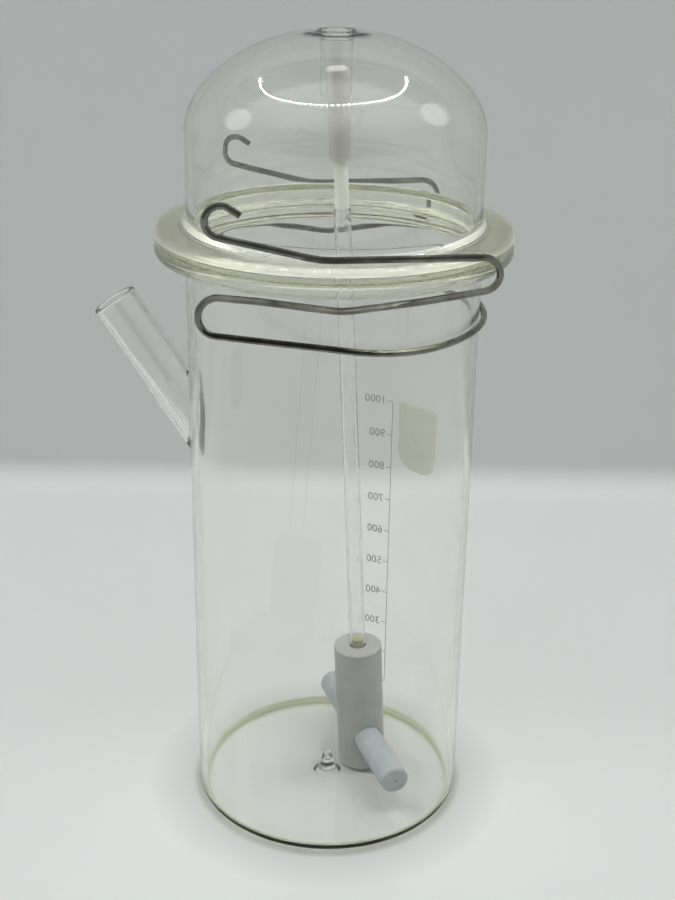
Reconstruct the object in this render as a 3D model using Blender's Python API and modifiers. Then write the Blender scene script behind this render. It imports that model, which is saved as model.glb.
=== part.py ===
"""Glass stirring vessel: flanged jar with a side arm, domed lid, sprung wire clamp and a magnetic stirrer.

Units are metres, +Z is up, and the origin is the centre of the jar's foot on the table.
The side arm points towards -X and the clamp slides off towards +X.
"""
import math

import bmesh
import bpy
from mathutils import Matrix, Vector

MM = 0.001

# Jar
JAR_R = 50.0 * MM            # outer radius of the body
WALL = 2.5 * MM
FLOOR_Z = 1.75 * MM          # top of the glass floor
FOOT_ROUND = 3.2 * MM
FLOOR_ROUND = 1.5 * MM
NIPPLE_TOP = 10.4 * MM       # tip of the glass point that the stirrer turns on
NIPPLE_TIP_R = 1.7 * MM
NIPPLE_NECK_R = 2.3 * MM
NIPPLE_ROOT_R = 6.1 * MM
NIPPLE_NECK_Z = 6.2 * MM
WALL_ROWS = (100 * MM, 135 * MM, 165 * MM, 190 * MM)

# Flanged joint
JOINT_Z = 215.5 * MM
GAP = 0.3 * MM               # between pieces that touch
FLANGE_R = 60.33 * MM
FLANGE_T = 4.9 * MM
JAR_FLANGE_T = 4.65 * MM
ROOT_ROUND = 2.2 * MM
MOUTH_ROUND = 0.9 * MM

# Lid
LID_R = 49.4 * MM
LID_WALL = 2.4 * MM
LID_ROUND = 3.8 * MM
DOME_Z = 250.7 * MM          # where the dome starts
DOME_H = 32.6 * MM
DOME_POWER = 1.883
GUIDE_R = 5.2 * MM           # blind guide tube hanging from the crown
GUIDE_BORE_R = 4.7 * MM
GUIDE_MOUTH_Z = 262.5 * MM
CROWN_SAG = 0.45 * MM            # how far the crown's inside has dropped at the guide tube's radius

# Side arm
ARM_R = 8.0 * MM
ARM_BORE_R = 6.2 * MM
ARM_TURN = math.radians(2.5)     # from -X towards +Y
ARM_RISE = math.radians(57.6)
ARM_AXIS_Z = 72.45 * MM          # where its axis crosses the jar's axis
ARM_REACH = 141.4 * MM           # from there to the mouth
ARM_STRAIGHT = 128.0 * MM        # from there to where the mouth's rounding may start
ARM_ROOT = 60.0 * MM             # uncut tube inside the jar
WAY_LOW = 70.0 * MM              # the hole through the jar's wall, along the arm's axis
WAY_HIGH = 110.0 * MM

# Wire clamp, one side described in its own frame (x, z), the other mirrored in y
WIRE_R = 1.15 * MM
CLAMP_TURN = math.radians(2.6)
UPPER_Y = 55.5 * MM
LOWER_Y = 51.6 * MM
LOOP_R = 51.6 * MM
LOOP_Z = 190.1 * MM
HOOK_TIP = (-30.4 * MM, 235.6 * MM)
HOOK_CENTRE = (-36.2 * MM, 233.7 * MM)
HOOK_R = 4.75 * MM
KINK = (-6.5 * MM, 222.05 * MM)
BEND_CENTRE = (42.0 * MM, 217.2 * MM)
BEND_R = 5.9 * MM
HOOK_TIP_TURN = 34.0             # degrees from the tip's direction to where the hook's arc starts
ARM_RUN_Z = 229.3 * MM           # height of the upper arm where it leaves the hook
REAR_SHORTER = 4.4 * MM          # the rear arm is bent back a little sooner
ARM_KINK = (25.5 * MM, 208.3 * MM)
VERTEX = (0.4 * MM, 204.9 * MM)
RETURN_CENTRE = (-37.6 * MM, 203.3 * MM)
RETURN_R = 6.1 * MM
LOOP_RISE = 2.5 * MM             # the lower arm comes down to the loop from this much higher

# Stirrer: its axis leans from the floor beside the glass point to the guide tube
AXIS_FOOT = Vector((13.83, 7.73, 2.6)) * MM
AXIS_HEAD = Vector((0.70, 0.0, 262.5)) * MM
HUB_R = 9.15 * MM
HUB_L = 52.2 * MM
HUB_EDGE = 0.5 * MM
SOCKET_R = 3.7 * MM
SOCKET_DEPTH = 7.0 * MM
SOCKET_LEAD = (0.6 * MM, 1.2 * MM)   # widening and height of the socket's mouth
SOCKET_CONE = 1.6 * MM               # height of the cone at the socket's end
SOCKET_END_R = 1.3 * MM
SHAFT_R = 2.9 * MM
SHAFT_BORE_R = 2.25 * MM
SHAFT_SEAT = 14.0 * MM
SHAFT_TOP = 222.6 * MM
PLUG_L = 2.6 * MM
STEM_R = 2.4 * MM
SPIGOT_R = 1.9 * MM
SPIGOT_L = 7.2 * MM
SLANT_TURN = math.radians(-52.0)   # the spigot's end is cut on the slant
SLANT_SHIFT = 3.4 * MM
SLEEVE_R = 3.8 * MM
SLEEVE_FOOT = 239.2 * MM
SLEEVE_TOP = 269.2 * MM
SLEEVE_ROUND = 1.5 * MM
SLEEVE_CROWN = 5.0 * MM          # solid thickness above the blind bore
RUNNING = 0.05 * MM              # radial running clearance of the stem in the sleeve

# Stir bar
BAR_R = 5.25 * MM
BAR_ROUND = 1.2 * MM
BAR_HALF = 35.8 * MM
BAR_SHIFT = 1.1 * MM
BAR_H = 14.0 * MM                # height of the bar's axis up the hub
BAR_TURN = math.radians(-71.0)
MAGNET_R = 3.0 * MM
MAGNET_HALF = 29.0 * MM
PINHOLE_R = 0.45 * MM


def clear_scene():
    for obj in list(bpy.data.objects):
        bpy.data.objects.remove(obj, do_unlink=True)


def collection(name):
    coll = bpy.data.collections.new(name)
    bpy.context.scene.collection.children.link(coll)
    return coll


def material(name, color, roughness, metallic=0.0, transmission=0.0, ior=1.5):
    mat = bpy.data.materials.new(name)
    mat.use_nodes = True
    shader = mat.node_tree.nodes["Principled BSDF"]
    shader.inputs["Base Color"].default_value = (*color, 1.0)
    shader.inputs["Roughness"].default_value = roughness
    shader.inputs["Metallic"].default_value = metallic
    shader.inputs["Transmission Weight"].default_value = transmission
    shader.inputs["IOR"].default_value = ior
    mat.diffuse_color = (*color, 0.35 if transmission else 1.0)
    return mat


def arc(cx, cz, rx, start, end, steps, rz=None):
    """Points of an elliptical arc, angles in degrees, both ends included."""
    rz = rx if rz is None else rz
    points = []
    for i in range(steps + 1):
        a = math.radians(start + (end - start) * i / steps)
        points.append((cx + rx * math.cos(a), cz + rz * math.sin(a)))
    return points


def lathe(name, profile, steps, coll, closed=False):
    """Turn a profile of (radius, height) about Z. It runs down its outer side."""
    mesh = bpy.data.meshes.new(name)
    verts = [(r, 0.0, z) for r, z in profile]
    edges = [(i, i + 1) for i in range(len(verts) - 1)]
    if closed:
        edges.append((len(verts) - 1, 0))
    mesh.from_pydata(verts, edges, [])
    obj = bpy.data.objects.new(name, mesh)
    coll.objects.link(obj)
    screw = obj.modifiers.new("turn", "SCREW")
    screw.axis = "Z"
    screw.angle = 2 * math.pi
    screw.steps = steps
    screw.render_steps = steps
    screw.use_merge_vertices = True
    screw.merge_threshold = 0.00001
    screw.use_smooth_shade = True
    return obj


def rod(name, radius, low, high, coll, steps=48):
    """Plain cutter or core along Z."""
    return lathe(name, [(0, high), (radius, high), (radius, low), (0, low)], steps, coll)


def cut(obj, cutter):
    boolean = obj.modifiers.new("cut " + cutter.name, "BOOLEAN")
    boolean.operation = "DIFFERENCE"
    boolean.solver = "EXACT"
    boolean.object = cutter
    cutter.hide_render = True
    cutter.display_type = "WIRE"


def finish(obj, mat, sharp=35.0):
    """Bake the modifiers, weld, keep real edges sharp, and give the piece its material."""
    bpy.context.view_layer.update()
    graph = bpy.context.evaluated_depsgraph_get()
    mesh = bpy.data.meshes.new_from_object(obj.evaluated_get(graph))
    work = bmesh.new()
    work.from_mesh(mesh)
    bmesh.ops.remove_doubles(work, verts=work.verts, dist=1e-6)
    bmesh.ops.recalc_face_normals(work, faces=work.faces)
    work.to_mesh(mesh)
    work.free()
    mesh.name = obj.name
    for poly in mesh.polygons:
        poly.use_smooth = True
    mesh.set_sharp_from_angle(angle=math.radians(sharp))
    mesh.materials.clear()
    mesh.materials.append(mat)
    if obj.type == "CURVE":
        solid = bpy.data.objects.new(obj.name + " solid", mesh)
        solid.matrix_world = obj.matrix_world.copy()
        for coll in obj.users_collection:
            coll.objects.link(solid)
        name = obj.name
        bpy.data.objects.remove(obj, do_unlink=True)
        solid.name = name
        return solid
    obj.modifiers.clear()
    obj.data = mesh
    return obj


def frame_along(origin, direction):
    """Matrix that carries local +Z onto a direction by the shortest turn."""
    turn = Vector((0, 0, 1)).rotation_difference(direction.normalized())
    return Matrix.Translation(origin) @ turn.to_matrix().to_4x4()


# ---------------------------------------------------------------- glass pieces

def arm_frame():
    flat = math.cos(ARM_RISE)
    direction = Vector((-flat * math.cos(ARM_TURN), flat * math.sin(ARM_TURN), math.sin(ARM_RISE)))
    return frame_along(Vector((0, 0, ARM_AXIS_Z)), direction)


def make_vessel(parts, cutters, glass):
    inner = JAR_R - WALL
    rim = JAR_FLANGE_T / 2
    top = JOINT_Z - GAP / 2
    profile = arc(0, NIPPLE_TOP - NIPPLE_TIP_R, NIPPLE_TIP_R, 90, 10, 6)
    profile += arc(NIPPLE_ROOT_R, NIPPLE_NECK_Z, NIPPLE_ROOT_R - NIPPLE_NECK_R, 180, 270, 7,
                   NIPPLE_NECK_Z - FLOOR_Z)
    profile += arc(inner - FLOOR_ROUND, FLOOR_Z + FLOOR_ROUND, FLOOR_ROUND, -90, 0, 5)
    profile += [(inner, z) for z in WALL_ROWS]
    profile += arc(inner + MOUTH_ROUND, top - MOUTH_ROUND, MOUTH_ROUND, 180, 90, 4)
    profile += arc(FLANGE_R - rim, top - rim, rim, 90, -90, 8)
    profile += arc(JAR_R + ROOT_ROUND, top - JAR_FLANGE_T - ROOT_ROUND, ROOT_ROUND, 90, 180, 5)
    profile += [(JAR_R, z) for z in reversed(WALL_ROWS)]
    profile += arc(JAR_R - FOOT_ROUND, FOOT_ROUND, FOOT_ROUND, 0, -90, 8)
    profile += [(0, 0)]
    jar = lathe("vessel", profile, 72, parts)
    way = rod("arm way", ARM_BORE_R, WAY_LOW, WAY_HIGH, cutters)
    way.matrix_world = arm_frame()
    cut(jar, way)
    return finish(jar, glass)


def make_side_arm(parts, cutters, glass):
    edge = (ARM_R - ARM_BORE_R) / 2
    mid = ARM_R - edge
    profile = [(ARM_R, ARM_STRAIGHT), (ARM_R, ARM_ROOT), (ARM_BORE_R, ARM_ROOT), (ARM_BORE_R, ARM_STRAIGHT)]
    profile += arc(mid, ARM_REACH - edge, edge, 180, 0, 8)
    arm = lathe("side_arm", profile, 40, parts, closed=True)
    arm.matrix_world = arm_frame()
    core = rod("jar core", JAR_R + GAP, 0, JOINT_Z, cutters, 160)
    cut(arm, core)
    return finish(arm, glass)


def dome(radius, height, steps):
    """Superellipse from the crown down to the straight wall."""
    points = []
    for i in range(steps + 1):
        a = math.radians(90 - 90 * i / steps)
        r = radius * max(math.cos(a), 0.0) ** (2 / DOME_POWER) if i else 0.0
        z = DOME_Z + height * max(math.sin(a), 0.0) ** (2 / DOME_POWER) if i < steps else DOME_Z
        points.append((r, z))
    return points


def make_lid(parts, glass):
    rim = FLANGE_T / 2
    low = JOINT_Z + GAP / 2
    inner = LID_R - LID_WALL
    profile = dome(LID_R, DOME_H, 13)
    profile += arc(LID_R + LID_ROUND, low + FLANGE_T + LID_ROUND, LID_ROUND, 180, 270, 6)
    profile += arc(FLANGE_R - rim, low + rim, rim, 90, -90, 8)
    profile += arc(inner + MOUTH_ROUND, low + MOUTH_ROUND, MOUTH_ROUND, 270, 180, 4)
    profile += [(inner, (JOINT_Z + DOME_Z) / 2)]
    profile += list(reversed(dome(inner, DOME_H - LID_WALL, 11)))
    return finish(lathe("lid", profile, 72, parts), glass)


def make_guide_tube(parts, glass):
    edge = (GUIDE_R - GUIDE_BORE_R) / 2
    top = DOME_Z + DOME_H - LID_WALL - CROWN_SAG - GAP
    profile = [(GUIDE_R, top)]
    profile += arc(GUIDE_R - edge, GUIDE_MOUTH_Z + edge, edge, 0, -180, 6)
    profile += [(GUIDE_BORE_R, top)]
    return finish(lathe("guide_tube", profile, 40, parts, closed=True), glass)


# ---------------------------------------------------------------- wire clamp

def corner(before, at, after, size):
    """Three points that round a slight bend in a run of wire."""
    to_before = (before - at).normalized() * size
    to_after = (after - at).normalized() * size
    return [at + to_before, at + (to_before + to_after) / 4, at + to_after]


def side_route(mirror, bend_x):
    """One side of the clamp from the hook's tip to the loop at the jar's +X side."""
    def at(x, z, y):
        return Vector((x, mirror * y, z))

    route = [at(*HOOK_TIP, UPPER_Y)]
    tip_angle = math.degrees(math.atan2(HOOK_TIP[1] - HOOK_CENTRE[1], HOOK_TIP[0] - HOOK_CENTRE[0]))
    tip_angle += HOOK_TIP_TURN
    slope = math.degrees(math.atan2(KINK[1] - ARM_RUN_Z, KINK[0] - HOOK_CENTRE[0]))
    for x, z in arc(*HOOK_CENTRE, HOOK_R, tip_angle, 270 + slope, 16):
        route.append(at(x, z, UPPER_Y))
    left = Vector((route[-1].x, route[-1].z))
    kink = Vector(KINK)
    bend_top = Vector((bend_x, BEND_CENTRE[1] + BEND_R))
    route += [at(p.x, p.y, UPPER_Y) for p in corner(left, kink, bend_top, 4 * MM)]
    for i, (x, z) in enumerate(arc(bend_x, BEND_CENTRE[1], BEND_R, 90, -82, 14)):
        route.append(at(x, z, UPPER_Y + (LOWER_Y - UPPER_Y) * i / 14))
    bend_end = Vector((route[-1].x, route[-1].z))
    right, vertex, far = Vector(ARM_KINK), Vector(VERTEX), Vector((-ARM_KINK[0], ARM_KINK[1]))
    return_top = Vector((RETURN_CENTRE[0], RETURN_CENTRE[1] + RETURN_R))
    middle = corner(bend_end, right, vertex, 2 * MM) + corner(right, vertex, far, 3 * MM)
    middle += corner(vertex, far, return_top, 2 * MM)
    route += [at(p.x, p.y, LOWER_Y) for p in middle]
    for x, z in arc(*RETURN_CENTRE, RETURN_R, 86, 262, 16):
        route.append(at(x, z, LOWER_Y))
    start = Vector((route[-1].x, route[-1].z))
    for i in range(1, 5):
        p = start.lerp(Vector((0.0, LOOP_Z + LOOP_RISE)), i / 4)
        route.append(at(p.x, p.y, LOWER_Y))
    for i in range(1, 16):
        a = math.radians(90 - 90 * i / 15)
        rise = LOOP_RISE * max(0.0, 1 - i / 6) ** 2
        route.append(Vector((LOOP_R * math.cos(a), mirror * LOOP_R * math.sin(a), LOOP_Z + rise)))
    return route


def make_clamp(parts, steel):
    front = side_route(-1, BEND_CENTRE[0])
    rear = side_route(1, BEND_CENTRE[0] - REAR_SHORTER)
    route = front + list(reversed(rear[:-1]))
    curve = bpy.data.curves.new("wire_clamp", "CURVE")
    curve.dimensions = "3D"
    curve.bevel_depth = WIRE_R
    curve.bevel_resolution = 2
    curve.use_fill_caps = True
    spline = curve.splines.new("POLY")
    spline.points.add(len(route) - 1)
    for point, place in zip(spline.points, route):
        point.co = (*place, 1.0)
    obj = bpy.data.objects.new("wire_clamp", curve)
    obj.matrix_world = Matrix.Rotation(CLAMP_TURN, 4, "Z")
    parts.objects.link(obj)
    return finish(obj, steel, 50.0)


# ---------------------------------------------------------------- stirrer

def make_sleeve(parts, axis, ptfe):
    bore = STEM_R + RUNNING
    profile = [(0, SLEEVE_TOP)]
    profile += arc(SLEEVE_R - SLEEVE_ROUND, SLEEVE_TOP - SLEEVE_ROUND, SLEEVE_ROUND, 90, 0, 6)
    profile += [(SLEEVE_R, SLEEVE_FOOT), (bore, SLEEVE_FOOT), (bore, SLEEVE_TOP - SLEEVE_CROWN),
                (0, SLEEVE_TOP - SLEEVE_CROWN)]
    sleeve = lathe("guide_sleeve", profile, 32, parts)
    sleeve.matrix_world = axis
    return finish(sleeve, ptfe)


def make_stem(parts, cutters, axis, ptfe):
    head = SLEEVE_TOP - SLEEVE_CROWN - GAP
    shoulder = SHAFT_TOP + GAP
    uncut = shoulder - 1.5 * SPIGOT_L
    profile = [(0, head), (STEM_R, head), (STEM_R, shoulder), (SPIGOT_R, shoulder), (SPIGOT_R, uncut),
               (0, uncut)]
    stem = lathe("stem", profile, 24, parts)
    stem.matrix_world = axis
    slope = rod("slant", 5 * STEM_R, -8 * STEM_R, 0, cutters, 24)
    turn = Matrix.Rotation(SLANT_TURN, 4, "Y")
    slope.matrix_world = axis @ Matrix.Translation((0, 0, shoulder - SPIGOT_L + SLANT_SHIFT)) @ turn
    cut(stem, slope)
    return finish(stem, ptfe)


def make_shaft(parts, axis, glass):
    edge = (SHAFT_R - SHAFT_BORE_R) / 2
    foot = HUB_L - SHAFT_SEAT
    profile = arc(SHAFT_R - edge, SHAFT_TOP - edge, edge, 180, 0, 6)
    profile += arc(SHAFT_R - edge, foot + edge, edge, 0, -180, 6)
    shaft = lathe("shaft_tube", profile, 28, parts, closed=True)
    shaft.matrix_world = axis
    return finish(shaft, glass)


def make_plug(parts, axis, olive):
    plug = rod("shaft_plug", SHAFT_BORE_R - GAP, HUB_L, HUB_L + PLUG_L, parts, 24)
    plug.matrix_world = axis
    return finish(plug, olive)


def make_hub(parts, cutters, axis, bar_frame, ptfe):
    seat = SHAFT_R + GAP
    profile = [(0, HUB_L - SHAFT_SEAT - GAP), (seat, HUB_L - SHAFT_SEAT - GAP), (seat, HUB_L)]
    profile += arc(HUB_R - HUB_EDGE, HUB_L - HUB_EDGE, HUB_EDGE, 90, 0, 3)
    profile += arc(HUB_R - HUB_EDGE, HUB_EDGE, HUB_EDGE, 0, -90, 3)
    widening, lead = SOCKET_LEAD
    profile += [(SOCKET_R + widening, 0), (SOCKET_R, lead), (SOCKET_R, SOCKET_DEPTH - SOCKET_CONE),
                (SOCKET_END_R, SOCKET_DEPTH), (0, SOCKET_DEPTH)]
    hub = lathe("stirrer_hub", profile, 48, parts)
    hub.matrix_world = axis
    way = rod("bar way", BAR_R + GAP, -2 * HUB_R, 2 * HUB_R, cutters, 40)
    way.matrix_world = bar_frame
    cut(hub, way)
    return finish(hub, ptfe)


def make_bar(parts, bar_frame, ptfe, iron):
    low, high = BAR_SHIFT - BAR_HALF, BAR_SHIFT + BAR_HALF
    core_r = MAGNET_R + GAP
    core_low, core_high = BAR_SHIFT - MAGNET_HALF - GAP, BAR_SHIFT + MAGNET_HALF + GAP
    profile = [(PINHOLE_R, high)]
    profile += arc(BAR_R - BAR_ROUND, high - BAR_ROUND, BAR_ROUND, 90, 0, 5)
    profile += arc(BAR_R - BAR_ROUND, low + BAR_ROUND, BAR_ROUND, 0, -90, 5)
    profile += [(PINHOLE_R, low), (PINHOLE_R, core_low), (core_r, core_low), (core_r, core_high),
                (PINHOLE_R, core_high)]
    jacket = lathe("bar_jacket", profile, 36, parts, closed=True)
    jacket.matrix_world = bar_frame
    magnet = rod("bar_magnet", MAGNET_R, BAR_SHIFT - MAGNET_HALF, BAR_SHIFT + MAGNET_HALF, parts, 24)
    magnet.matrix_world = bar_frame
    return finish(jacket, ptfe), finish(magnet, iron)


def main():
    clear_scene()
    parts = collection("stirring_vessel")
    cutters = collection("cutters")

    glass = material("clear_glass", (0.93, 0.95, 0.92), 0.02, transmission=1.0, ior=1.47)
    arm_glass = material("arm_glass", (0.93, 0.95, 0.93), 0.02, transmission=1.0, ior=1.47)
    lid_glass = material("lid_glass", (0.93, 0.95, 0.91), 0.02, transmission=1.0, ior=1.47)
    guide_glass = material("guide_glass", (0.93, 0.95, 0.93), 0.02, transmission=1.0, ior=1.47)
    tube_glass = material("shaft_glass", (0.93, 0.95, 0.93), 0.02, transmission=1.0, ior=1.47)
    steel = material("spring_steel", (0.62, 0.61, 0.58), 0.18, metallic=1.0)
    white = material("white_ptfe", (0.80, 0.80, 0.77), 0.45)
    milky = material("milky_ptfe", (0.72, 0.74, 0.70), 0.40)
    grey_white = material("hub_ptfe", (0.78, 0.77, 0.75), 0.50)
    blue_white = material("bar_ptfe", (0.70, 0.77, 0.82), 0.40)
    olive = material("olive_seal", (0.42, 0.42, 0.22), 0.60)
    iron = material("magnet", (0.12, 0.12, 0.13), 0.50, metallic=0.8)

    make_vessel(parts, cutters, glass)
    make_side_arm(parts, cutters, arm_glass)
    make_lid(parts, lid_glass)
    make_guide_tube(parts, guide_glass)
    make_clamp(parts, steel)

    axis = frame_along(AXIS_FOOT, AXIS_HEAD - AXIS_FOOT)
    bar_frame = (axis @ Matrix.Translation((0, 0, BAR_H)) @ Matrix.Rotation(BAR_TURN, 4, "Z")
                 @ Matrix.Rotation(math.pi / 2, 4, "Y"))
    make_sleeve(parts, axis, white)
    make_stem(parts, cutters, axis, milky)
    make_shaft(parts, axis, tube_glass)
    make_plug(parts, axis, olive)
    make_hub(parts, cutters, axis, bar_frame, grey_white)
    make_bar(parts, bar_frame, blue_white, iron)


main()
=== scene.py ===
"""Looks for the glass stirring vessel: clear glass, white plastics, spring steel, printed scale, plain studio."""
import math

import bmesh
import bpy
from mathutils import Matrix, Vector

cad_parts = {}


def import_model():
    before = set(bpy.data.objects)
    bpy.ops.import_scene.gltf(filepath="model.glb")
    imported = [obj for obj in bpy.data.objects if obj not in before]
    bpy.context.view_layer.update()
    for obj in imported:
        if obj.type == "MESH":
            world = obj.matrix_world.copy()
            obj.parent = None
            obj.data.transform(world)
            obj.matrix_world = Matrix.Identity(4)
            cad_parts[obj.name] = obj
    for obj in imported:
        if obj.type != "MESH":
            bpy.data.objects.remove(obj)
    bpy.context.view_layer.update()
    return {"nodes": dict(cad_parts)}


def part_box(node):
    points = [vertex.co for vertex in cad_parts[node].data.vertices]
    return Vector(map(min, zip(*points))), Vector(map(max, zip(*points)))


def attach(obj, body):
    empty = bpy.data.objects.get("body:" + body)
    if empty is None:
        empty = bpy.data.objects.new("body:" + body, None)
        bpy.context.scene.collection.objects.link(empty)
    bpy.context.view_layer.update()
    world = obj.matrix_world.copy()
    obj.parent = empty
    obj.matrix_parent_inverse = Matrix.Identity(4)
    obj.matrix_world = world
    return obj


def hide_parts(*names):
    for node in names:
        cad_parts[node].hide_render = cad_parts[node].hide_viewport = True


MM = 0.001

# Camera
CAMERA_PLACE = Vector((-1.25, -463.06, 332.19)) * MM
CAMERA_DOWN = math.radians(22.79)
CAMERA_YAW = math.radians(0.43)
CAMERA_ROLL = math.radians(0.87)
LENS = 56.17
SENSOR = 36.0

# Blown glass, turned finer than the frame's own pieces; the guide tube is fused to the lid
TURN_STEPS = 256
CURVE_PARTS = 3
LONG_RUN = 8.0 * MM              # straighter and longer runs of a profile stay straight
ROW = 6.0 * MM
SHARP = 50                       # degrees; gentler edges are shaded smooth
TINY = 1e-6                      # nearer to the axis than this is on it
TUBE_WELD = 0.8 * MM             # fillet round the guide tube's root
CROWN_SAG = 0.45 * MM            # drop of the crown's inside at that fillet
CROWN_GLASS = 2.2 * MM           # glass left over the guide tube's bore
# Rounded end of that bore, as (distance from its axis, depth) in parts of its radius
BORE_END = ((1, 1 / 2), (0.85, 1 / 6), (0.5, 0), (0, 0))
SEAT = 0.2 * MM                  # depth of the ground mating faces
FOOT_H = 4.0 * MM                # height of the foot's thick olive rim, darkened with painted contact shade
DIMPLE_R = 5.5 * MM              # pulled-in dimple under the glass point
DIMPLE_H = 2.4 * MM
DIMPLE_CURVE = ((1, 0), (0.75, 0.4), (0.4, 0.9), (0, 1))   # from its edge to its top
ARM_BORE_R = 6.2 * MM
ARM_TURN = math.radians(2.5)
ARM_RISE = math.radians(57.6)
ARM_AXIS_Z = 72.45 * MM
ARM_REACH = 141.4 * MM
ARM_COLUMNS = 96

# Printed scale on the back wall, angles from +Y towards +X
PRINT_LIFT = 0.05 * MM
PRINT_THICK = 0.03 * MM
SCALE_TURN = math.radians(29.5)
SCALE_FIRST = 15.7 * MM          # height of the 100 mark
SCALE_STEP = 13.85 * MM
SCALE_MARKS = 10
FIRST_NUMBER = 3
LINE_W = 0.28 * MM
TICK_L = 2.4 * MM
DIGIT_H = 3.3 * MM
DIGIT_GAP = 0.7 * MM             # from a tick to its number
CAP_HEIGHT = 0.72                # of the font's size
PATCH_TURN = (math.radians(33.0), math.radians(56.1))
PATCH_Z = (114 * MM, 141.3 * MM)
PATCH_SIDE = 19.5 * MM           # straight part of its sides, above the rounded point
PATCH_COLUMNS = 24
PATCH_POWER = 2.6                # fullness of its lower edge

# Studio
FLOOR_BACK = 0.264
FLOOR_REACH = 3.0                # to either side and in front
SWEEP_R = 0.014
SWEEP_STEPS = 12
WALL_H = 2.2
FLOOR_DROP = 0.25 * MM
FLOOR_TONE = (0.73, 0.745, 0.74)
WALL_TONE = (0.66, 0.675, 0.67)
SIDE_LIGHT = (0.58, 0.585, 0.58)
TOP_LIGHT = (1.45, 1.47, 1.46)
FRONT_SHADE = 0.1                # the room in front of the object is this much of the light elsewhere
FRONT_FADE = (-0.95, -0.50)      # world directions' Y between which it fades in
# Painted shadow on the floor under the jar, as (part of the jar's radius, tone), since clear glass casts no shadow
# here
FOOT_SHADES = ((0.90, 0.60), (0.955, 0.50), (1.0, 0.52), (1.05, 0.80), (1.4, 1.0))
RING_DOTS = 72
RING_CENTRE = Vector((-0.020, 0.150, 0.800))
RING_R = 0.360
DOT_R = 0.0080
DOT_GLOW = 110.0
LIGHT_TARGET = (0, 0, 0.2)
# Name, place, width and watts of the two round softboxes
SOFTBOXES = (
    ("left_softbox", (-1.00, -0.02, 0.80), 0.46, 0.9),
    ("right_softbox", (0.84, 0.10, 0.80), 0.40, 0.7),
)


# ---------------------------------------------------------------- node helpers

def new_material(name):
    mat = bpy.data.materials.new(name)
    mat.use_nodes = True
    tree = mat.node_tree
    return mat, tree, tree.nodes["Principled BSDF"]


def node(tree, kind, **values):
    made = tree.nodes.new(kind)
    for key, value in values.items():
        if key in made.inputs:
            made.inputs[key].default_value = value
        else:
            setattr(made, key, value)
    return made


def noise(tree, scale, detail=4.0, stretch=(1, 1, 1)):
    """Noise in object space, in cycles per metre."""
    where = node(tree, "ShaderNodeTexCoord")
    mapping = node(tree, "ShaderNodeMapping")
    mapping.inputs["Scale"].default_value = stretch
    pattern = node(tree, "ShaderNodeTexNoise")
    pattern.inputs["Scale"].default_value = scale
    pattern.inputs["Detail"].default_value = detail
    tree.links.new(where.outputs["Object"], mapping.inputs["Vector"])
    tree.links.new(mapping.outputs["Vector"], pattern.inputs["Vector"])
    return pattern.outputs["Fac"]


def ramp(tree, source, stops):
    made = node(tree, "ShaderNodeValToRGB")
    elements = made.color_ramp.elements
    while len(elements) < len(stops):
        elements.new(0.5)
    for element, (place, color) in zip(elements, stops):
        element.position = place
        element.color = (*color, 1.0)
    tree.links.new(source, made.inputs["Fac"])
    return made.outputs["Color"]


def spread(tree, source, low, high):
    """Map a 0..1 pattern onto a range."""
    made = node(tree, "ShaderNodeMapRange")
    made.inputs["From Min"].default_value = 0.3
    made.inputs["From Max"].default_value = 0.7
    made.inputs["To Min"].default_value = low
    made.inputs["To Max"].default_value = high
    tree.links.new(source, made.inputs["Value"])
    return made.outputs["Result"]


def bump(tree, shader, source, depth, strength=1.0):
    made = node(tree, "ShaderNodeBump")
    made.inputs["Strength"].default_value = strength
    made.inputs["Distance"].default_value = depth
    tree.links.new(source, made.inputs["Height"])
    tree.links.new(made.outputs["Normal"], shader.inputs["Normal"])


# ---------------------------------------------------------------- materials

def glass(name, tint, density, wave=0.012 * MM, wave_scale=45.0, rough=0.0, tone=(1.0, 1.0, 1.0)):
    """Clear borosilicate: slow waviness from drawing, and a tint that grows with thickness."""
    mat, tree, shader = new_material(name)
    shader.inputs["Base Color"].default_value = (*tone, 1.0)
    shader.inputs["Roughness"].default_value = rough
    shader.inputs["IOR"].default_value = 1.474
    shader.inputs["Transmission Weight"].default_value = 1.0
    bump(tree, shader, noise(tree, wave_scale, 2.0, (1, 1, 0.35)), wave)
    volume = node(tree, "ShaderNodeVolumeAbsorption")
    volume.inputs["Color"].default_value = (*tint, 1.0)
    volume.inputs["Density"].default_value = density
    tree.links.new(volume.outputs["Volume"], tree.nodes["Material Output"].inputs["Volume"])
    return mat


def plastic(name, dark, light, roughness, grain=900.0, glow=0.15):
    """Machined PTFE: faint mottling, fine tool grain and some light let into the body."""
    mat, tree, shader = new_material(name)
    mottle = noise(tree, 140.0, 3.0)
    tree.links.new(ramp(tree, mottle, ((0.35, dark), (0.65, light))), shader.inputs["Base Color"])
    tree.links.new(spread(tree, noise(tree, 420.0), roughness - 0.05, roughness + 0.08),
                   shader.inputs["Roughness"])
    shader.inputs["Subsurface Weight"].default_value = glow
    shader.inputs["Subsurface Radius"].default_value = (0.0022, 0.0022, 0.0018)
    shader.inputs["Subsurface Scale"].default_value = 1.0
    bump(tree, shader, noise(tree, grain, 5.0), 0.02 * MM, 0.6)
    return mat


def steel(name):
    """Bright drawn spring wire with faint draw marks and handling stains, its colour kept dark as a painted
    reflection of the dim room.
    """
    mat, tree, shader = new_material(name)
    stain_and_dark_reflection = noise(tree, 160.0, 6.0)
    # Base colour: random handling stains, all kept dark as a painted reflection of the dim room
    tree.links.new(ramp(tree, stain_and_dark_reflection, ((0.3, (0.10, 0.10, 0.085)), (0.62, (0.22, 0.22, 0.19)))),
                   shader.inputs["Base Color"])
    shader.inputs["Metallic"].default_value = 1.0
    tree.links.new(spread(tree, noise(tree, 700.0), 0.06, 0.16), shader.inputs["Roughness"])
    bump(tree, shader, noise(tree, 1500.0, 3.0), 0.01 * MM, 0.5)
    return mat


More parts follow.
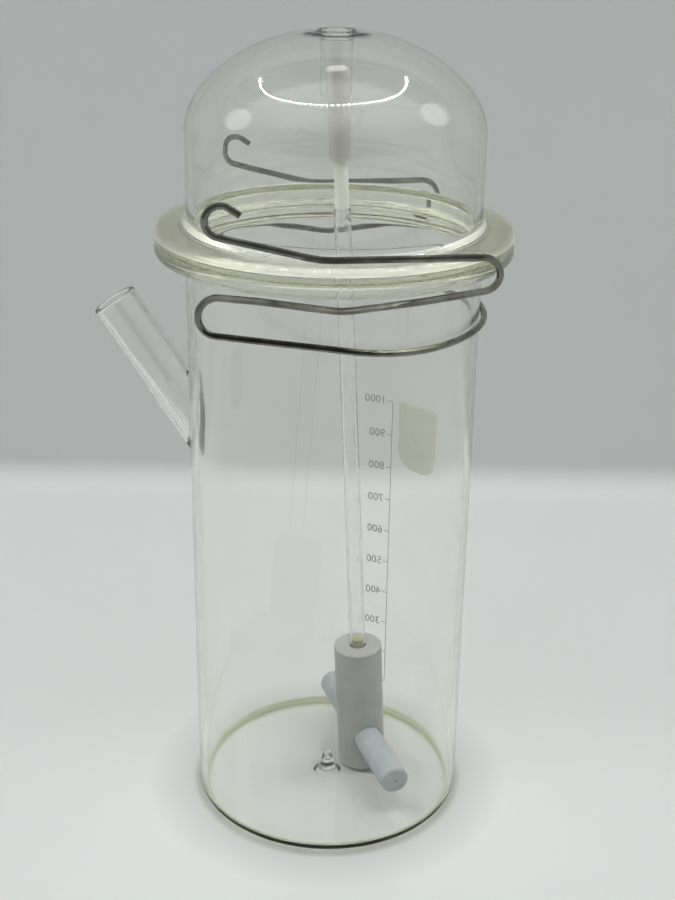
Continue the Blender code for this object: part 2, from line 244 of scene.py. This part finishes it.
def olive_rubber(name):
    mat, tree, shader = new_material(name)
    tree.links.new(ramp(tree, noise(tree, 500.0), ((0.3, (0.20, 0.20, 0.07)), (0.7, (0.34, 0.34, 0.14)))),
                   shader.inputs["Base Color"])
    shader.inputs["Roughness"].default_value = 0.6
    bump(tree, shader, noise(tree, 1800.0), 0.02 * MM)
    return mat


def magnet_iron(name):
    mat, tree, shader = new_material(name)
    tree.links.new(ramp(tree, noise(tree, 600.0), ((0.3, (0.05, 0.05, 0.055)), (0.7, (0.13, 0.13, 0.14)))),
                   shader.inputs["Base Color"])
    shader.inputs["Metallic"].default_value = 0.8
    shader.inputs["Roughness"].default_value = 0.5
    bump(tree, shader, noise(tree, 1500.0), 0.02 * MM)
    return mat


def ink(name, dark, light, alpha):
    """Fired enamel print, slightly worn."""
    mat, tree, shader = new_material(name)
    tree.links.new(ramp(tree, noise(tree, 900.0), ((0.3, dark), (0.7, light))), shader.inputs["Base Color"])
    shader.inputs["Roughness"].default_value = 0.55
    shader.inputs["Alpha"].default_value = alpha
    bump(tree, shader, noise(tree, 2500.0), 0.01 * MM)
    return mat


def dress(nodes):
    """Give every CAD node its finished material."""
    finishes = {
        "side_arm": glass("side_arm_glass", (0.94, 0.95, 0.80), 20.0),
        "shaft_tube": glass("shaft_tube_glass", (0.93, 0.94, 0.84), 14.0, 0.006 * MM, 120.0),
        "wire_clamp": steel("spring_wire_painted_reflection"),
        "guide_sleeve": plastic("sleeve_plastic", (0.42, 0.425, 0.395), (0.47, 0.475, 0.445), 0.42),
        "stem": plastic("stem_plastic", (0.60, 0.63, 0.56), (0.68, 0.71, 0.64), 0.36, glow=0.4),
        "shaft_plug": olive_rubber("olive_plug"),
        # The white PTFE hub gets a grey tone as painted shade for the dim light it sits in inside the jar
        "stirrer_hub": plastic("hub_plastic_painted_shade", (0.29, 0.295, 0.28), (0.33, 0.335, 0.32), 0.48),
        "bar_jacket": plastic("bar_plastic", (0.29, 0.33, 0.345), (0.335, 0.38, 0.395), 0.38),
        "bar_magnet": magnet_iron("magnet_core"),
    }
    nodes["shaft_tube"].visible_shadow = False
    nodes["side_arm"].visible_shadow = False
    for name, mat in finishes.items():
        obj = nodes[name]
        for i in range(len(obj.material_slots)):
            obj.material_slots[i].material = mat


# ---------------------------------------------------------------- turned glass

def jar_radius():
    """Outer radius of the jar's body, from the frame's vessel."""
    low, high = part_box("vessel")
    height = high.z - low.z
    mesh = frame["nodes"]["vessel"].data
    rings = [v.co.xy.length for v in mesh.vertices if 0.3 < (v.co.z - low.z) / height < 0.8]
    return max(rings)


def outline(name):
    """Profile of a turned CAD piece, read off its mesh in the half-plane y = 0, x >= 0, from its highest point."""
    mesh = frame["nodes"][name].data
    spots = {v.index: (round(v.co.x, 6), round(v.co.z, 6)) for v in mesh.vertices
             if abs(v.co.y) < TINY and v.co.x > -TINY}
    links = {}
    for edge in mesh.edges:
        a, b = edge.vertices
        if a in spots and b in spots and spots[a] != spots[b]:
            links.setdefault(spots[a], set()).add(spots[b])
            links.setdefault(spots[b], set()).add(spots[a])
    on_axis = [s for s in links if s[0] < TINY]
    here = max(on_axis or links, key=lambda s: s[1])
    path, seen = [here], {here}
    while True:
        ahead = [s for s in links[here] if s not in seen]
        if not ahead:
            break
        here = max(ahead, key=lambda s: s[0]) if len(path) == 1 else ahead[0]
        path.append(here)
        seen.add(here)
    if path[0][0] < TINY < path[-1][0]:
        path.append((0.0, path[-1][1]))
    return [Vector(s) for s in path]


def heading(points, i):
    """Direction of a profile at one of its points; it is level where it meets the axis."""
    if i == 0:
        return Vector((1.0, 0.0))
    if i == len(points) - 1:
        return Vector((-1.0, 0.0))
    before, after = points[i] - points[i - 1], points[i + 1] - points[i]
    if before.length > 3 * after.length:
        return before.normalized()
    if after.length > 3 * before.length:
        return after.normalized()
    return (before.normalized() * after.length + after.normalized() * before.length).normalized()


def refined(points):
    """Turn a profile's short runs into smooth curves, and divide its long runs into rows."""
    fine = [points[0]]
    for i in range(len(points) - 1):
        a, b = points[i], points[i + 1]
        run = b - a
        if run.length > LONG_RUN:
            count = math.ceil(run.length / ROW)
            fine += [a.lerp(b, k / count) for k in range(1, count + 1)]
            continue
        out, into = heading(points, i) * run.length, heading(points, i + 1) * run.length
        for k in range(1, CURVE_PARTS + 1):
            t = k / CURVE_PARTS
            fine.append(a * (2 * t**3 - 3 * t**2 + 1) + out * (t**3 - 2 * t**2 + t)
                        + b * (3 * t**2 - 2 * t**3) + into * (t**3 - t**2))
    return fine


def turned(name, profile):
    """Solid of revolution about Z; the profile starts and ends on the axis."""
    work = bmesh.new()
    rings = []
    for r, z in profile:
        if r < TINY:
            rings.append([work.verts.new((0, 0, z))])
        else:
            angles = [2 * math.pi * k / TURN_STEPS for k in range(TURN_STEPS)]
            rings.append([work.verts.new((r * math.cos(a), r * math.sin(a), z)) for a in angles])
    for a, b in zip(rings, rings[1:]):
        for k in range(TURN_STEPS):
            n = (k + 1) % TURN_STEPS
            corners = [a[k % len(a)], b[k % len(b)], b[n % len(b)], a[n % len(a)]]
            work.faces.new(list(dict.fromkeys(corners)))
    return solid(name, work)


def solid(name, work):
    bmesh.ops.recalc_face_normals(work, faces=work.faces)
    mesh = bpy.data.meshes.new(name)
    work.to_mesh(mesh)
    work.free()
    obj = bpy.data.objects.new(name, mesh)
    bpy.context.scene.collection.objects.link(obj)
    return obj


def combined(obj, other, operation):
    """Bake a Boolean with a helper solid, which is then removed."""
    step = obj.modifiers.new("combine", "BOOLEAN")
    step.operation = operation
    step.solver = "EXACT"
    step.object = other
    bpy.context.view_layer.update()
    graph = bpy.context.evaluated_depsgraph_get()
    mesh = bpy.data.meshes.new_from_object(obj.evaluated_get(graph))
    obj.modifiers.clear()
    obj.data = mesh
    bpy.data.objects.remove(other)


def smooth(obj):
    for poly in obj.data.polygons:
        poly.use_smooth = True
    obj.data.set_sharp_from_angle(angle=math.radians(SHARP))


def arm_axes():
    """Where the side arm's axis crosses the jar's, its direction, and two directions square to it."""
    level = math.cos(ARM_RISE)
    along = Vector((-level * math.cos(ARM_TURN), level * math.sin(ARM_TURN), math.sin(ARM_RISE)))
    side = Vector((0, 0, 1)).cross(along).normalized()
    return Vector((0, 0, ARM_AXIS_Z)), along, side, along.cross(side)


def arm_bore():
    """Rod of the side arm's bore, which opens the jar's wall."""
    base, along, side, up = arm_axes()
    work = bmesh.new()
    rings = []
    for far in (ARM_REACH / 2, ARM_REACH):
        ring = []
        for k in range(ARM_COLUMNS):
            a = 2 * math.pi * (k + 0.5) / ARM_COLUMNS
            ring.append(work.verts.new(base + along * far + (side * math.cos(a) + up * math.sin(a)) * ARM_BORE_R))
        work.faces.new(ring)
        rings.append(ring)
    for k in range(ARM_COLUMNS):
        n = (k + 1) % ARM_COLUMNS
        work.faces.new((rings[0][k], rings[0][n], rings[1][n], rings[1][k]))
    return solid("arm_bore", work)


def clear_piece(obj, mat, slot, body, *nodes):
    """Finish a turned glass piece; clear glass lets the studio's light straight through."""
    obj.data.materials.clear()
    obj.data.materials.append(mat)
    obj.visible_shadow = False
    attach(obj, body)
    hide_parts(*nodes)


def zone(obj, mat, test):
    """Give the faces that pass a test their own finish."""
    obj.data.materials.append(mat)
    slot = len(obj.data.materials) - 1
    for face in obj.data.polygons:
        if test(face):
            face.material_index = slot


def clear_jar(mat, ground, rim):
    """The jar, finely turned, with the side arm's bore open into it."""
    profile = outline("vessel")
    profile[-1:] = [Vector((DIMPLE_R * r, DIMPLE_H * z)) for r, z in DIMPLE_CURVE]
    jar = turned("jar_glass", refined(profile))
    radius = jar_radius()
    combined(jar, arm_bore(), "DIFFERENCE")
    smooth(jar)
    clear_piece(jar, mat, "clear_glass", "vessel", "vessel")
    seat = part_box("vessel")[1].z
    inner = radius - FOOT_H
    zone(jar, ground, lambda face: face.center.z > seat - SEAT and face.normal.z > 0.9)
    # The foot's rim gets a darker olive glass: painted contact shade added to the thick glass's own tint
    zone(jar, rim, lambda face: face.center.z < FOOT_H and face.center.xy.length > inner)


def quarter(x, z, radius, start, end):
    """Points of a rounding in a profile, every 30 degrees."""
    count = round(abs(end - start) / 30)
    angles = [math.radians(start + (end - start) * i / count) for i in range(count + 1)]
    return [Vector((x + radius * math.cos(a), z + radius * math.sin(a))) for a in angles]


def fused_lid(mat, ground):
    """Domed lid with its blind guide tube drawn down from the crown."""
    profile = outline("lid")
    low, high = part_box("guide_tube")
    tube_r = (high.x - low.x) / 2
    tube = outline("guide_tube")
    bore_r = min(p.x for p in tube)
    edge = (tube_r - bore_r) / 2
    lowest = min(range(len(profile)), key=lambda i: profile[i].y)
    outer, inner = profile[:lowest], profile[lowest:]
    inner = [p for p in inner if p.x > tube_r + 2 * TUBE_WELD]
    crown = profile[-1].y - CROWN_SAG
    weld = quarter(tube_r + TUBE_WELD, crown - TUBE_WELD, TUBE_WELD, 90, 180)
    lip = (tube_r - edge, low.z + edge, edge)
    mouth = quarter(*lip, 0, -90) + quarter(*lip, -120, -180)
    top = profile[0].y - CROWN_GLASS
    bore = [Vector((bore_r * r, top - bore_r * deep)) for r, deep in BORE_END]
    lid = turned("lid_glass_fused", refined(outer + inner + weld + mouth + bore))
    smooth(lid)
    clear_piece(lid, mat, "lid_glass", "lid", "lid", "guide_tube")
    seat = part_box("lid")[0].z
    zone(lid, ground, lambda face: face.center.z < seat + SEAT and face.normal.z < -0.9)


# ---------------------------------------------------------------- printed scale

def wrap(mesh, turn, height, radius):
    """Roll a flat drawing onto the jar: its x runs round the wall as read from outside, its y goes up."""
    for v in mesh.vertices:
        a = turn - v.co.x / radius
        r = radius + PRINT_LIFT + v.co.z
        v.co = (r * math.sin(a), r * math.cos(a), height + v.co.y)


def drawn(name, mesh, turn, height, radius, mat):
    wrap(mesh, turn, height, radius)
    mesh.materials.clear()
    mesh.materials.append(mat)
    obj = bpy.data.objects.new(name, mesh)
    bpy.context.scene.collection.objects.link(obj)
    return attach(obj, "vessel")


def plate(width, height, columns=1, foot=None):
    """Thin closed plate from the origin along X and up Y; foot gives the height of its lower edge at each column."""
    work = bmesh.new()
    rows = []
    for i in range(columns + 1):
        x = width * i / columns
        low = foot(i / columns) if foot else 0.0
        rows.append((work.verts.new((x, low, 0)), work.verts.new((x, height, 0))))
    for (a, b), (c, d) in zip(rows, rows[1:]):
        work.faces.new((a, c, d, b))
    bmesh.ops.recalc_face_normals(work, faces=work.faces)
    bmesh.ops.solidify(work, geom=work.faces[:], thickness=PRINT_THICK)
    mesh = bpy.data.meshes.new("plate")
    work.to_mesh(mesh)
    work.free()
    return mesh


def lettering(text, size):
    """Text as a thin mesh, its left end at the origin, centred in height."""
    curve = bpy.data.curves.new("text", "FONT")
    curve.body = text
    curve.size = size / CAP_HEIGHT
    curve.extrude = PRINT_THICK / 2
    curve.resolution_u = 3
    curve.align_y = "CENTER"
    obj = bpy.data.objects.new("text", curve)
    bpy.context.scene.collection.objects.link(obj)
    bpy.context.view_layer.update()
    graph = bpy.context.evaluated_depsgraph_get()
    mesh = bpy.data.meshes.new_from_object(obj.evaluated_get(graph))
    bpy.data.objects.remove(obj)
    return mesh


def print_scale():
    radius = jar_radius()
    mat = ink("scale_ink", (0.13, 0.14, 0.13), (0.22, 0.23, 0.22), 0.85)
    top = SCALE_FIRST + SCALE_STEP * (SCALE_MARKS - 1)
    line = plate(LINE_W, top - SCALE_FIRST)
    drawn("scale_line", line, SCALE_TURN, SCALE_FIRST, radius, mat)
    for i in range(SCALE_MARKS):
        height = SCALE_FIRST + SCALE_STEP * i
        tick = plate(TICK_L, LINE_W, columns=3)
        drawn(f"scale_tick_{i + 1}", tick, SCALE_TURN, height - LINE_W / 2, radius, mat)
        if i + 1 >= FIRST_NUMBER:
            turn = SCALE_TURN - (TICK_L + DIGIT_GAP) / radius
            drawn(f"scale_number_{i + 1}", lettering(str(100 * (i + 1)), DIGIT_H), turn, height, radius, mat)


def print_patch():
    radius = jar_radius()
    mat = ink("patch_enamel", (0.46, 0.48, 0.36), (0.56, 0.58, 0.46), 0.42)
    width = (PATCH_TURN[1] - PATCH_TURN[0]) * radius
    height = PATCH_Z[1] - PATCH_Z[0]
    drop = height - PATCH_SIDE

    def foot(t):
        return drop * (1 - math.sqrt(max(0.0, 1 - abs(2 * t - 1)**PATCH_POWER)))

    patch = plate(width, height, PATCH_COLUMNS, foot)
    drawn("write_on_patch", patch, PATCH_TURN[1], PATCH_Z[0], radius, mat)


# ---------------------------------------------------------------- studio

def floor_material():
    mat, tree, shader = new_material("studio_paper")
    floor = ramp(tree, noise(tree, 3.0, 3.0), ((0.3, FLOOR_TONE), (0.7, [1.03 * c for c in FLOOR_TONE])))
    where = node(tree, "ShaderNodeTexCoord")
    split = node(tree, "ShaderNodeSeparateXYZ")
    tree.links.new(where.outputs["Object"], split.inputs["Vector"])
    height = node(tree, "ShaderNodeMapRange")
    height.inputs["From Max"].default_value = SWEEP_R
    tree.links.new(split.outputs["Z"], height.inputs["Value"])
    blend = node(tree, "ShaderNodeMixRGB")
    tree.links.new(height.outputs["Result"], blend.inputs["Fac"])
    tree.links.new(floor, blend.inputs["Color1"])
    blend.inputs["Color2"].default_value = (*WALL_TONE, 1.0)
    # Painted shadow under the jar: the paper's colour is darkened by distance from the jar's axis, per FOOT_SHADES
    flat = node(tree, "ShaderNodeVectorMath", operation="MULTIPLY")
    flat.inputs[1].default_value = [1 / (FOOT_SHADES[-1][0] * jar_radius())] * 2 + [0.0]
    tree.links.new(where.outputs["Object"], flat.inputs[0])
    reach = node(tree, "ShaderNodeVectorMath", operation="LENGTH")
    tree.links.new(flat.outputs["Vector"], reach.inputs[0])
    shade = ramp(tree, reach.outputs["Value"], [(r / FOOT_SHADES[-1][0], (t, t, t)) for r, t in FOOT_SHADES])
    both = node(tree, "ShaderNodeMixRGB", blend_type="MULTIPLY", Fac=1.0)
    tree.links.new(blend.outputs["Color"], both.inputs["Color1"])
    tree.links.new(shade, both.inputs["Color2"])
    tree.links.new(both.outputs["Color"], shader.inputs["Base Color"])
    shader.inputs["Roughness"].default_value = 0.7
    shader.inputs["Specular IOR Level"].default_value = 0.2
    facing = node(tree, "ShaderNodeNewGeometry")
    clear = node(tree, "ShaderNodeBsdfTransparent")
    mix = node(tree, "ShaderNodeMixShader")
    tree.links.new(facing.outputs["Backfacing"], mix.inputs["Fac"])
    tree.links.new(shader.outputs["BSDF"], mix.inputs[1])
    tree.links.new(clear.outputs["BSDF"], mix.inputs[2])
    tree.links.new(mix.outputs["Shader"], tree.nodes["Material Output"].inputs["Surface"])
    return mat


def sweep():
    """Paper sweep: floor, soft bend and wall, seen from its front only."""
    profile = [(-FLOOR_REACH, 0.0), (FLOOR_BACK, 0.0)]
    for i in range(1, SWEEP_STEPS + 1):
        a = math.radians(-90 + 90 * i / SWEEP_STEPS)
        profile.append((FLOOR_BACK + SWEEP_R * math.cos(a), SWEEP_R + SWEEP_R * math.sin(a)))
    profile.append((FLOOR_BACK + SWEEP_R, WALL_H))
    mesh = bpy.data.meshes.new("sweep")
    verts = [(x, y, z - FLOOR_DROP) for y, z in profile for x in (-FLOOR_REACH, FLOOR_REACH)]
    faces = [(2 * i, 2 * i + 1, 2 * i + 3, 2 * i + 2) for i in range(len(profile) - 1)]
    mesh.from_pydata(verts, [], faces)
    for poly in mesh.polygons:
        poly.use_smooth = True
    mesh.materials.append(floor_material())
    obj = bpy.data.objects.new("sweep", mesh)
    bpy.context.scene.collection.objects.link(obj)


def glowing(name, color, strength):
    mat = bpy.data.materials.new(name)
    mat.use_nodes = True
    tree = mat.node_tree
    tree.nodes.remove(tree.nodes["Principled BSDF"])
    light = node(tree, "ShaderNodeEmission", Strength=strength)
    light.inputs["Color"].default_value = (*color, 1.0)
    tree.links.new(light.outputs["Emission"], tree.nodes["Material Output"].inputs["Surface"])
    return mat


def lamp_ring():
    """A ring of small lamps overhead, seen only as reflections."""
    work = bmesh.new()
    for i in range(RING_DOTS):
        a = 2 * math.pi * i / RING_DOTS
        place = RING_CENTRE + Vector((RING_R * math.cos(a), RING_R * math.sin(a), 0))
        bmesh.ops.create_icosphere(work, subdivisions=1, radius=DOT_R, matrix=Matrix.Translation(place))
    mesh = bpy.data.meshes.new("lamp_ring")
    work.to_mesh(mesh)
    work.free()
    mesh.materials.append(glowing("lamp", (1.0, 1.0, 1.0), DOT_GLOW))
    obj = bpy.data.objects.new("lamp_ring", mesh)
    bpy.context.scene.collection.objects.link(obj)
    obj.visible_camera = False
    obj.visible_diffuse = False
    obj.visible_shadow = False


def softbox(name, place, width, power):
    light = bpy.data.lights.new(name, "AREA")
    light.shape = "ELLIPSE"
    light.size = width
    light.size_y = width
    light.energy = power
    obj = bpy.data.objects.new(name, light)
    obj.location = place
    obj.rotation_euler = (Vector(LIGHT_TARGET) - Vector(place)).to_track_quat("-Z", "Y").to_euler()
    bpy.context.scene.collection.objects.link(obj)


def world():
    made = bpy.data.worlds.new("studio")
    made.use_nodes = True
    tree = made.node_tree
    where = node(tree, "ShaderNodeTexCoord")
    split = node(tree, "ShaderNodeSeparateXYZ")
    tree.links.new(where.outputs["Generated"], split.inputs["Vector"])
    sky = ramp(tree, split.outputs["Z"], ((0.0, SIDE_LIGHT), (0.45, SIDE_LIGHT), (0.80, TOP_LIGHT)))
    front = node(tree, "ShaderNodeMapRange")
    front.inputs["From Min"].default_value = FRONT_FADE[0]
    front.inputs["From Max"].default_value = FRONT_FADE[1]
    front.inputs["To Min"].default_value = FRONT_SHADE
    front.inputs["To Max"].default_value = 1.0
    tree.links.new(split.outputs["Y"], front.inputs["Value"])
    background = tree.nodes["Background"]
    tree.links.new(sky, background.inputs["Color"])
    tree.links.new(front.outputs["Result"], background.inputs["Strength"])
    bpy.context.scene.world = made


def camera():
    data = bpy.data.cameras.new("camera")
    data.lens = LENS
    data.sensor_width = SENSOR
    data.clip_start = 0.01
    obj = bpy.data.objects.new("camera", data)
    obj.matrix_world = (Matrix.Translation(CAMERA_PLACE) @ Matrix.Rotation(-CAMERA_YAW, 4, "Z")
                        @ Matrix.Rotation(math.pi / 2 - CAMERA_DOWN, 4, "X")
                        @ Matrix.Rotation(CAMERA_ROLL, 4, "Z"))
    bpy.context.scene.collection.objects.link(obj)
    bpy.context.scene.camera = obj


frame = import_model()
camera()
dress(frame["nodes"])
ground_glass = glass("ground_joint", (0.94, 0.95, 0.74), 34.0, rough=0.42, tone=(0.97, 0.97, 0.90))
# Darker olive glass for the foot's rim: painted contact shade on top of the thick glass's tint
shaded_foot_glass = glass("foot_rim_painted_shade", (0.94, 0.95, 0.74), 34.0, tone=(0.80, 0.81, 0.62))
clear_jar(glass("vessel_glass", (0.94, 0.95, 0.74), 34.0), ground_glass, shaded_foot_glass)
fused_lid(glass("lid_glass", (0.94, 0.95, 0.73), 36.0), ground_glass)
print_scale()
print_patch()
sweep()
lamp_ring()
for box in SOFTBOXES:
    softbox(*box)
world()
bpy.context.scene.view_settings.view_transform = "Standard"
